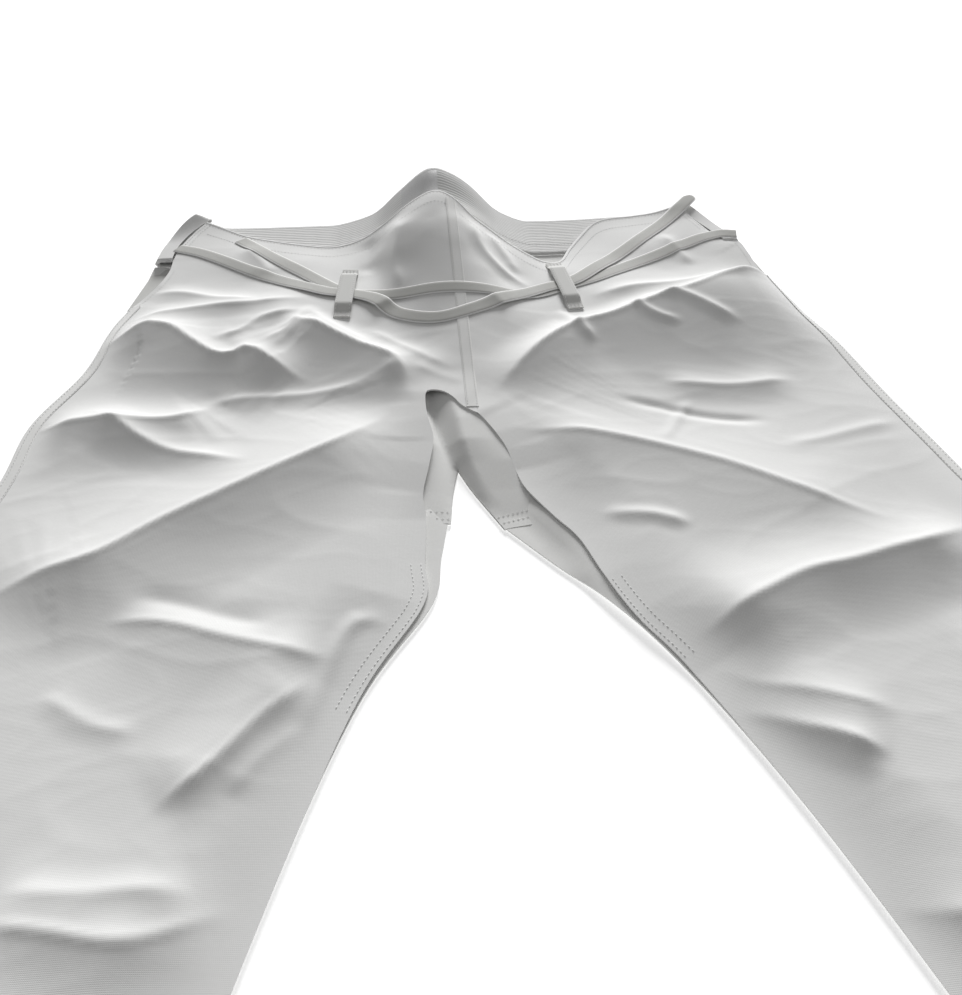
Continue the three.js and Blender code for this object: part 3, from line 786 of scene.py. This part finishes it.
def back_height(side, xy):
    """Top of the back cloth: on the ground, but it rises to the hump and to the inner seams."""
    hump = np.interp(xy[:, 0], HUMP_X, HUMP_Z)
    rise = smoothstep(HUMP_FOOT, BACK_TOP, xy[:, 1])
    height = FLAT_HEIGHT + np.maximum(hump - HUMP_Z[0], 0) * rise ** 1.6
    distance, edge_height = edge_distance(xy, EDGES[side]["inner"])
    wanted = np.maximum(edge_height - CLOTH - 0.2 - FLAT_HEIGHT, 0)
    below_gusset = smoothstep(110, 70, xy[:, 1])
    corner = smoothstep(-262, -280, xy[:, 0]) + smoothstep(232, 248, xy[:, 0])
    under_fold = CORNER_LIFT * corner * smoothstep(390, BACK_TOP, xy[:, 1])
    return height + wanted * smoothstep(15, 1, distance) * below_gusset + under_fold


def make_back(side):
    upper, lower = BACK_INNER[side]
    edge = BACK_SIDE[side]
    centre_x, side_x = upper[0][0], edge[0][0]
    top = [(centre_x, BACK_TOP), ((centre_x + side_x) / 2, BACK_TOP), (side_x, BACK_TOP)]
    centre_seam = [upper[0], (centre_x, 300), top[0]]
    hem = [edge[-1], lower[-1]]
    shape = outline_of(top, edge, hem, lower[::-1], upper[::-1], centre_seam, step=BACK_GRID)
    panel = cloth(f"{side}_back_cloth", shape, lambda xy: back_height(side, xy), BACK_COTTON,
                  spacing=BACK_GRID)
    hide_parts(f"{side}_back_panel", f"{side}_back_lower_leg")
    follow_leg(panel)


# ------------------------------------------------------------------------------ waistband
# The band seen from the waist, as (x, z): turned-over end, side fold, back layer with the hump at
# the centre back, side fold, turned-over end.
HUMP = [(-125, 2), (-88, 12), (-62, 29), (-35, 45), (-14, 41), (4, 31), (26, 14), (55, 2)]
HUMP_X = np.array([x for x, _ in HUMP], float)
HUMP_Z = np.array([z for _, z in HUMP], float)


def band_line():
    """The middle line of the band in the XZ plane, as points 4 mm apart."""
    angles = np.linspace(math.pi / 2, -math.pi / 2, 9)
    right = [(BAND_RIGHT + BAND_HALF + BAND_RADIUS - math.cos(t) * BAND_RADIUS,
              BAND_MIDDLE + math.sin(t) * BAND_RADIUS) for t in angles]
    left = [(BAND_LEFT - BAND_HALF - BAND_RADIUS + math.cos(t) * BAND_RADIUS,
             BAND_MIDDLE + math.sin(t) * BAND_RADIUS) for t in angles[::-1]]
    hump = smooth_line([(-150, 2)] + HUMP + [(80, 2)], 6.0)
    over = BAND_MIDDLE + BAND_RADIUS
    line = np.vstack([(BAND_RIGHT + BAND_WRAP, over), right, (-200, 2.1), hump, (150, 2.1), left,
                      (BAND_LEFT - BAND_WRAP, over)])
    line[:, 1] = np.maximum(line[:, 1], 2.0)
    return resample(line, 4.0)


BAND_XZ = band_line()
BAND_UP = leftward(BAND_XZ)                           # towards the inside of the trousers
BAND_FLARE = 0.26        # how much higher the hump stands at the band's top edge
FLARE_ABOVE = 12         # height from which the band takes part in that
# How far the top edge bulges (or dips) towards the waist: place along X, width and amount.
EDGE_BULGES = [(-35, 50, 4.0), (85, 70, -6.0), (-262, 30, 6.0)]


def band_points(y, offset):
    """Points of the band at plan distance y and at an offset towards the inside, along the band.
    The top edge bulges where the cloth stands up, and dips between hump and side folds."""
    x, z = (BAND_XZ + BAND_UP * np.atleast_1d(offset)[:, None]).T
    flare = 1 + BAND_FLARE * smoothstep(FLARE_FROM, BAND_HIGH, y)
    raised = np.maximum(BAND_XZ[:, 1] - FLARE_ABOVE, 0)
    z = z + raised * (flare - 1)
    share = (y - BAND_LOW) / (BAND_HIGH - BAND_LOW)
    edge = sum(rise * np.exp(-((x - middle) / width) ** 2) for middle, width, rise in EDGE_BULGES)
    z = z + corner_rise(x, y)
    upper_layer = BAND_XZ[:, 1] > BAND_MIDDLE
    for side, middle in (("right", BAND_RIGHT), ("left", BAND_LEFT)):
        on_fold = np.clip(1 - (np.abs(x - middle) - 6) / LEAN_REACH, 0, 1)
        wrapped = upper_layer & (np.abs(x - middle) < BAND_WRAP + 6)
        x = x + np.where(wrapped, 1, on_fold) * lean(side, y)
    return np.c_[x, y + edge * share, z]


RIB_PITCH, RIB_RELIEF = 3.6, 0.38


def band_shell(name, rows, material, trim=0, ends=False, thickness=0.0):
    """A mesh round the band's line, from rings of rows. A row is a plan distance and an offset."""
    columns = slice(trim, len(BAND_XZ) - trim)
    grid = np.stack([band_points(y, offset)[columns] for y, offset in rows], axis=1)
    count, n = grid.shape[:2]
    faces = [(r * n + k, r * n + (k + 1) % n, (r + 1) * n + (k + 1) % n, (r + 1) * n + k)
             for r in range(count - 1) for k in range(n)]
    if ends:
        faces += [tuple(range(n))[::-1], tuple((count - 1) * n + k for k in range(n))]
    points = grid.reshape(-1, 3)
    return make_object(name, points, orient(points, faces), material, thickness)


def make_band():
    """The folded band: its inside is ribbed and a little gathered, its outside is plain."""
    n = len(BAND_XZ)
    gather = np.array([noise.noise(Vector((k * 0.9, 5.0, 1.0))) for k in range(n)])
    rows = []
    for y in np.linspace(BAND_LOW + 1, BAND_HIGH - 1, 81):
        rib = RIB_RELIEF * (0.5 + 0.5 * math.cos(2 * math.pi * (y - BAND_LOW) / RIB_PITCH))
        wave = 0.5 * gather * math.sin(math.pi * (y - BAND_LOW) / (BAND_HIGH - BAND_LOW))
        rows.append((y, BAND_HALF + rib + wave))
    rows += [(BAND_HIGH, 0.9), (BAND_HIGH, -0.9)]
    rows += [(y, -BAND_HALF) for y in np.linspace(BAND_HIGH - 1, BAND_LOW + 1, 31)]
    rows += [(BAND_LOW, -0.9), (BAND_LOW, 0.9)]
    band = band_shell("waistband", rows, BAND_COTTON, thickness=0.8)
    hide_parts("back_waistband")
    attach(band, "root")


ELASTIC_SPAN, ELASTIC_THICKNESS = (447, 496), 1.2     # lower and upper edge inside the band
DRAWSTRING_SPAN = (429, 443)


def make_strap(name, low_y, high_y, thickness, material, node, slot):
    """A strap that lies inside the band and follows it."""
    across = np.linspace(low_y, high_y, 8)
    rows = [(y, thickness / 2) for y in across] + [(y, -thickness / 2) for y in across[::-1]]
    strap = band_shell(name, rows, material, trim=1, ends=True)
    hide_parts(node)
    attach(strap, "root")


LABEL_X, LABEL_Y, LABEL_ABOVE = (-62, -26), (463, 493), 15     # it lies on the hump, above 15 mm


def make_label():
    """A plain woven label, sewn to the inside of the band at the top of the hump."""
    x, z = BAND_XZ.T
    columns = np.where((x > LABEL_X[0]) & (x < LABEL_X[1]) & (z > LABEL_ABOVE))[0]
    rows = np.linspace(*LABEL_Y, 13)
    top = np.stack([band_points(y, np.full(len(BAND_XZ), BAND_HALF + 0.75))[columns] for y in rows])
    n = len(columns)
    faces = [(r * n + k, r * n + k + 1, (r + 1) * n + k + 1, (r + 1) * n + k)
             for r in range(len(rows) - 1) for k in range(n - 1)]
    label = make_object("woven_label", top.reshape(-1, 3), faces, SATIN, thickness=0.5)
    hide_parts("blank_label")
    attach(label, "root")


# ------------------------------------------------------------------------------ gusset
# The front half of the crotch gusset. Its right arm is a valley in shadow, its left arm faces up.
GUSSET_SEWN = [(-39, 71), (-59, 72), (-61, 96), (-56, 122), (-52, 146), (-55, 170), (-56, 188),
               (-54, 205), (-40, 206), (-29, 200), (-21, 188), (-9, 178), (3, 158), (9, 136),
               (14, 114), (19, 98), (32, 72), (-5, 63)]
GUSSET_FOLD = [[(-5, 63), (-22, 100), (-31, 124)], [(-31, 124), (-36, 98), (-39, 71)]]
# Across the gusset, from the right leg's seam to the left leg's seam, at eight places down it:
# the right seam, the valley or the fold edge, the ridge, and the left seam, as (x, height).
GUSSET_ACROSS = {
    205: [(-54, 12), (-47, 8.6), (-32, 13.6), (-8, 12.6)],
    188: [(-54, 11.4), (-46, 5.6), (-31, 13.6), (-9, 12.4)],
    168: [(-49, 10), (-43, 4.2), (-28, 13.4), (-5, 11.8)],
    145: [(-48, 8.6), (-39, 3.4), (-26, 12), (2, 10)],
    124: [(-53, 7), (-34, 2.6), (-22, 8), (8, 8.6)],
    98: [(-57, 4.2), (-30, 2.2), (-15, 4.4), (14, 5)],
    74: [(-57, 2), (-22, 1.5), (3, 1.8), (30, 2.6)],
    60: [(-57, 1.4), (-22, 1.4), (3, 1.4), (32, 1.4)],
}
GUSSET_LOW = 1.4         # top of the gusset where it lies on the ground
GUSSET_UNDER = 0.05      # its underside
GUSSET_GRID = 2.4        # spacing of its mesh
GUSSET_ROUND = 9         # width of the roll along its folded edge


def gusset_height(xy):
    """Top of the gusset at each plan point, from the heights across it."""
    places = np.array(sorted(GUSSET_ACROSS), float)
    table = np.array([GUSSET_ACROSS[int(p)] for p in places], float)
    at = [[np.interp(xy[:, 1], places, table[:, k, c]) for c in (0, 1)] for k in range(4)]
    height = np.full(len(xy), GUSSET_LOW)
    for (x0, z0), (x1, z1) in zip(at, at[1:]):
        t = (xy[:, 0] - x0) / (x1 - x0)
        here = (t >= 0) & (t <= 1)
        height[here] = (z0 + (z1 - z0) * (t * 0.75 + 0.25 * t * t * (3 - 2 * t)))[here]
    height = np.where(xy[:, 0] < at[0][0], at[0][1], height)
    height = np.where(xy[:, 0] > at[3][0], at[3][1], height)
    folded = [smooth_line(part, 3.0) for part in GUSSET_FOLD]
    distance = np.min([nearest(xy, line)[0] for line in folded], axis=0)
    rounded = np.sqrt(1 - (1 - np.clip(distance / GUSSET_ROUND, 0, 1)) ** 2)
    return GUSSET_LOW + np.maximum(height - GUSSET_LOW, 0) * rounded


def make_gusset():
    """The gusset: its top, its flat underside and a wall round its folded edge."""
    sewn = smooth_line(GUSSET_SEWN, GUSSET_GRID)[:-1]
    folded = [smooth_line(part, GUSSET_GRID)[:-1] for part in GUSSET_FOLD]
    outline = np.vstack([sewn, *folded])
    xy, faces = fill(outline, GUSSET_GRID)
    top = np.c_[xy, gusset_height(xy)]
    under = np.c_[xy, np.full(len(xy), GUSSET_UNDER)]
    n = len(xy)
    up = facing_up(xy, faces)
    down = [tuple(n + i for i in f[::-1]) for f in up]
    place = {tuple(np.round(p, 3)): i for i, p in enumerate(xy)}
    rim = [place[tuple(np.round(p, 3))] for p in np.vstack([*folded, outline[:1]])]
    wall = [(a, n + a, n + b, b) for a, b in zip(rim, rim[1:])]
    gusset = make_object("crotch_gusset_cloth", np.vstack([top, under]), up + down + wall,
                         BACK_COTTON, thickness=0.9)
    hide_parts("crotch_gusset")
    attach(gusset, "root")


GUSSET_ARM_ENDS = [[(-58, 76), (-40, 75)], [(-8, 68), (29, 77)]]


def gusset_rows():
    """Two rows of stitches across the end of each arm."""
    rows = []
    for end in GUSSET_ARM_ENDS:
        for offset in (0.0, 6.0):
            line = resample(np.array(end, float) + (0, offset), 4.0)
            rows.append(stitches(*lifted(line, gusset_height, 0.15)))
    return rows


# ------------------------------------------------------------------------------ facings
FACING_DEPTH = 20.0


def make_waist_facing():
    """The strip inside the front waist edge, from side to side."""
    edge = plan_points(FRONT_WAIST)
    edge[0, 0] += 2
    edge[-1, 0] -= 2
    upper = smooth_line(edge - (0, 0.8), 4.0)
    lower = (upper - (0, FACING_DEPTH))[::-1]
    shape = np.vstack([upper, lower])
    facing = cloth("front_facing_cloth", shape, lambda xy: front_top(xy) - CLOTH - 0.3, BACK_COTTON,
                   thickness=0.8)
    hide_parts("front_waist_facing")
    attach(facing, "root")


VENT_TOP = 2.9           # top of the facings inside the vents
VENT_FACING = {
    "right": [(-282, 422), (-266, 422), (-277, 385), (-288, 354), (-293, 352)],
    "left": [(250, 422), (234, 422), (246, 385), (255, 354), (259, 352)],
}


def make_vent_facing(side):
    """The strip inside the open vent at one side of the waist, coloured darker as painted shade."""
    outline = np.array(VENT_FACING[side], float)
    closed = np.vstack([resample(np.array([a, b]), 3.0)[:-1]
                        for a, b in zip(outline, np.roll(outline, -1, axis=0))])
    facing = cloth(f"{side}_vent_cloth", closed, lambda xy: np.full(len(xy), VENT_TOP), VENT_COTTON_PAINTED_SHADE,
                   spacing=3.0, thickness=0.9)
    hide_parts(f"{side}_vent_facing")
    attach(facing, "root")


for side in EDGES:
    make_front(side)
    make_back(side)
    make_vent_facing(side)
make_band()
make_strap("waist_elastic", *ELASTIC_SPAN, ELASTIC_THICKNESS, RUBBER, "waistband_elastic",
           "elastic")
make_strap("drawstring_inside", *DRAWSTRING_SPAN, TAPE_THICKNESS, TAPE_COTTON_PAINTED_SHADE,
           "drawstring_back_run", "tape_cotton")
make_label()
make_gusset()
make_waist_facing()


# ------------------------------------------------------------------------------ seams
def surface_frame(xy, height):
    """Points on a relief and its unit normals, from small steps to both sides."""
    step = 1.5
    z = height(xy)
    slope_x = (height(xy + (step, 0)) - height(xy - (step, 0))) / (2 * step)
    slope_y = (height(xy + (0, step)) - height(xy - (0, step))) / (2 * step)
    normal = np.c_[-slope_x, -slope_y, np.ones(len(xy))]
    return np.c_[xy, z], unit_rows(normal)


def inset(line, distance):
    """The plan line moved sideways, to its left for a positive distance."""
    return line + leftward(line) * distance


# A stitch's shape, in shares of its length, width and rise: along, sideways and outwards.
STITCH_PITCH, STITCH_LENGTH, STITCH_WIDTH, STITCH_RISE = 3.3, 2.5, 0.55, 0.34
STITCH_SHAPE = [(-0.5, 0, -0.3), (-0.2, -0.5, 0.2), (-0.2, 0.5, 0.2), (0, 0, 1), (0.2, -0.5, 0.2),
                (0.2, 0.5, 0.2), (0.5, 0, -0.3)]
STITCH_FACES = [(0, 1, 3), (0, 3, 2), (1, 4, 3), (3, 4, 6), (3, 5, 2), (3, 6, 5), (0, 2, 1),
                (1, 2, 5), (1, 5, 4), (4, 5, 6)]


def stitches(path, normal):
    """Points and faces of a row of stitches along a path in space."""
    dense = resample(np.hstack([path, normal]), STITCH_PITCH)
    path, normal = dense[:, :3], unit_rows(dense[:, 3:])
    along = unit_rows(np.gradient(path, axis=0))
    side = np.cross(along, normal)
    points, faces = [], []
    for p, t, s, n in zip(path, along, side, normal):
        first = len(points)
        points += [p + t * (a * STITCH_LENGTH) + s * (b * STITCH_WIDTH) + n * (c * STITCH_RISE)
                   for a, b, c in STITCH_SHAPE]
        faces += [tuple(first + i for i in face) for face in STITCH_FACES]
    return points, faces


def gather_meshes(parts):
    """Several (points, faces) as one."""
    points, faces = [], []
    for p, f in parts:
        first = len(points)
        points += list(p)
        faces += [tuple(first + i for i in face) for face in f]
    return np.array(points), faces


def on_front(side):
    """The height of one leg's front cloth, as a function of plan points."""
    return lambda xy: front_height(side, xy)


def seam_rows(line, height, offsets):
    """Rows of stitches beside a plan line on a relief."""
    parts = []
    for offset in offsets:
        points, normal = surface_frame(inset(line, offset), height)
        parts.append(stitches(points + normal * (SEAM_LIFT + 0.15), normal))
    return parts


def felled_seam(name, line, height, width, material):
    """The raised strip of a flat-felled seam."""
    points, normal = surface_frame(line, height)
    return ribbon(name, points + normal * SEAM_LIFT / 2, normal, width, SEAM_LIFT, material, 0.9)


SEAM_STEP = 5.0
FELL_WIDTH = 8.0
HEM_DEPTH = 22.0         # distance of the hem's stitches from its edge
INSEAM_SHOWN = {"right": (34, -70), "left": (14, -48)}    # where the inseam's fell is on the front


def plan(edge):
    """The smooth plan line of an edge."""
    return smooth_line(plan_points(edge), SEAM_STEP)


def lifted(line, height, amount):
    """A plan line laid at some distance above a relief, and the relief's normals there."""
    points, normal = surface_frame(line, height)
    return points + normal * amount, normal


def make_leg_seams(side):
    """Felled side seam of one leg with its rows of stitches, the inseam's rows of stitches, and the
    hem's row.
    """
    height = on_front(side)
    edges = EDGES[side]
    inward = INWARD[side]
    side_line = inset(plan(edges["side"]), -inward * (FELL_WIDTH / 2 + 1.5))
    inner_line = inset(plan(edges["inner"]), inward * (FELL_WIDTH / 2 + 1.5))
    upper, lower = INSEAM_SHOWN[side]
    inner_line = inner_line[(inner_line[:, 1] < upper) & (inner_line[:, 1] > lower)]
    hem = resample(plan_points([edges["side"][-1], edges["inner"][-1]]), 6.0)
    hem_line = inset(hem, -inward * HEM_DEPTH)[1:-1]
    strip = felled_seam(f"{side}_side_seam", side_line, height, FELL_WIDTH, SEAM_COTTON)
    follow_leg(strip)
    rows = seam_rows(side_line, height, (-3.2, 3.2))
    rows += [stitches(*lifted(inset(inner_line, d), height, 0.1)) for d in (-3.0, 3.0)]
    rows += [stitches(*lifted(hem_line, height, 0.12))]
    thread = make_object(f"{side}_leg_stitches", *gather_meshes(rows), THREAD)
    follow_leg(thread)


def make_centre_seam():
    """The felled seam down the centre front. Returns its two rows of stitches."""
    line = smooth_line([(CENTRE - 4, 443), (CENTRE - 3.5, 397), (CENTRE - 3, 336),
                        (CENTRE - 3, 268), (CENTRE - 3, 215), (CENTRE - 3, 178)], SEAM_STEP)
    strip = felled_seam("centre_seam", line, on_front("right"), 9.0, SEAM_COTTON)
    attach(strip, "root")
    return seam_rows(line, on_front("right"), (-3.3, 3.3))


WAIST_ROWS = (3.0, 19.0)           # distance of the waist's two rows of stitches from its edge
BEAD = 2.0               # thickness of the turned edge at the front of the waist


def make_waist_bead():
    """The rolled edge of the front waist, coloured near-white as a painted highlight along its rim.
    """
    points, normal = surface_frame(plan(FRONT_WAIST), front_top)
    middle = points - normal * CLOTH * 0.6
    bead = ribbon("front_waist_edge", middle, normal, 3.4, BEAD, PAINTED_HIGHLIGHT, 0.5)
    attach(bead, "root")


def band_end_rows():
    """Rows of stitches where the band's ends are sewn to the front panels."""
    rows = []
    for side, edge, outward in (("right", RIGHT_BAND_END, -1), ("left", LEFT_BAND_END, 1)):
        line = resample(plan_points(edge[:3]), 4.0)[1:]
        for offset in (2.5, 7.0):
            rows.append(stitches(*lifted(line - (outward * offset, 0), on_front(side), 0.15)))
    return rows


def waist_rows():
    """Two rows of stitches along the front waist edge."""
    rows = []
    for side, along in (("right", RIGHT_WAIST), ("left", LEFT_WAIST)):
        line = plan(along)[1:-1]
        for distance in WAIST_ROWS:
            rows.append(stitches(*lifted(line - (0, distance), on_front(side), 0.1)))
    return rows


def band_rows():
    """Three rows of stitches along the band's inside: two low ones and one at its upper edge."""
    rows = []
    for y in (BAND_LOW + 2.4, BAND_LOW + 17.5, BAND_HIGH - 2.4):
        points = band_points(y, np.full(len(BAND_XZ), BAND_HALF + 0.35))
        rows.append(stitches(points, np.c_[BAND_UP[:, 0], np.zeros(len(points)), BAND_UP[:, 1]]))
    return rows


def make_body_stitches():
    """Every stitch that stays with the root body, the vents' own rows included."""
    rows = make_centre_seam() + waist_rows() + band_rows() + band_end_rows() + gusset_rows()
    for side in EDGES:
        vent = inset(plan(EDGES[side]["vent"][2:]), -INWARD[side] * 4.5)
        rows.append(stitches(*lifted(vent, on_front(side), 0.1)))
    thread = make_object("body_stitches", *gather_meshes(rows), THREAD)
    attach(thread, "root")


# ------------------------------------------------------------------------------ belt loops
LOOPS = {"right": (-110, 345, -4.0), "left": (72, 344, 6.0)}     # middle in plan, turn in degrees
LOOP_LENGTH, LOOP_WIDTH, LOOP_STRIP, LOOP_RAMP = 78.0, 14.0, 1.7, 10.0


def make_loop(side):
    """A folded strip sewn down at both ends, arched over the two tapes."""
    x, y, turn = LOOPS[side]
    sway = (-math.sin(math.radians(turn)), math.cos(math.radians(turn)))
    along = np.linspace(-LOOP_LENGTH / 2, LOOP_LENGTH / 2, 41)
    line = np.array([x, y]) + np.outer(along, sway)
    ground = front_top(line)
    tape_top = max(path[np.abs(path[:, 0] - x) < 9][:, 2].max() for _, path in strands.values())
    crown = tape_top + TAPE_THICKNESS / 2 + 0.4 + LOOP_STRIP / 2
    rise = smoothstep(LOOP_LENGTH / 2 - 6, LOOP_LENGTH / 2 - 6 - LOOP_RAMP, np.abs(along))
    z = (ground + 0.2 + LOOP_STRIP / 2) * (1 - rise) + np.maximum(crown, ground + 1.5) * rise
    path = np.c_[line, z]
    side_way = np.array([sway[1], -sway[0], 0])
    up = unit_rows(np.cross(side_way[None], np.gradient(path, axis=0)))
    strip = ribbon(f"{side}_belt_loop_cloth", path, up, LOOP_WIDTH, LOOP_STRIP, LOOP_COTTON_PAINTED_SHADE, 0.6)
    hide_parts(f"{side}_belt_loop")
    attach(strip, "root")
    rows = []
    for offset in (-5.5, 5.5):
        rows.append(stitches(path + side_way * offset + up * (LOOP_STRIP / 2), up))
    for end, way in ((1, 1), (len(path) - 2, -1)):
        for step in range(3):
            across = path[end + way * step] + np.outer(np.linspace(-6, 6, 9), side_way)
            normal = np.tile(up[end + way * step], (9, 1))
            rows.append(stitches(across + normal * (LOOP_STRIP / 2), normal))
    thread = make_object(f"{side}_belt_loop_stitches", *gather_meshes(rows), THREAD)
    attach(thread, "root")


for side in EDGES:
    make_leg_seams(side)
    make_loop(side)
make_body_stitches()
make_waist_bead()


# ------------------------------------------------------------------------------ floor and light
FLOOR_SIZE = 6.0


def make_floor():
    """A pale floor just under the part."""
    bpy.ops.mesh.primitive_plane_add(size=FLOOR_SIZE, location=(0, 0, CAD_LOW.z - 0.0005))
    floor = bpy.context.object
    floor.name = "floor"
    material, _, shader = new_material("pale_floor")
    shader.inputs["Base Color"].default_value = (0.97, 0.97, 0.97, 1)
    shader.inputs["Roughness"].default_value = 0.9
    shader.inputs["Emission Color"].default_value = (1, 1, 1, 1)
    shader.inputs["Emission Strength"].default_value = 0.45
    floor.data.materials.append(material)


SUN = dict(azimuth=6.0, elevation=17.0, strength=4.7, softness=18.0)   # from beyond the waist
SKY = 0.25


def make_light():
    """Low, soft sunlight from beyond the waist and a dim even sky."""
    data = bpy.data.lights.new("window", "SUN")
    data.energy = SUN["strength"]
    data.angle = math.radians(SUN["softness"])
    a, e = math.radians(SUN["azimuth"]), math.radians(SUN["elevation"])
    toward = Vector((math.sin(a) * math.cos(e), math.cos(a) * math.cos(e), math.sin(e)))
    light = bpy.data.objects.new("window", data)
    light.location = toward * 3
    light.rotation_mode = "QUATERNION"
    light.rotation_quaternion = (-toward).to_track_quat("-Z", "Y")
    bpy.context.scene.collection.objects.link(light)
    world = bpy.data.worlds.new("studio")
    world.use_nodes = True
    background = world.node_tree.nodes["Background"]
    background.inputs["Color"].default_value = (1, 1, 1, 1)
    background.inputs["Strength"].default_value = SKY
    bpy.context.scene.world = world
    bpy.context.scene.view_settings.view_transform = "Standard"


make_floor()
make_light()
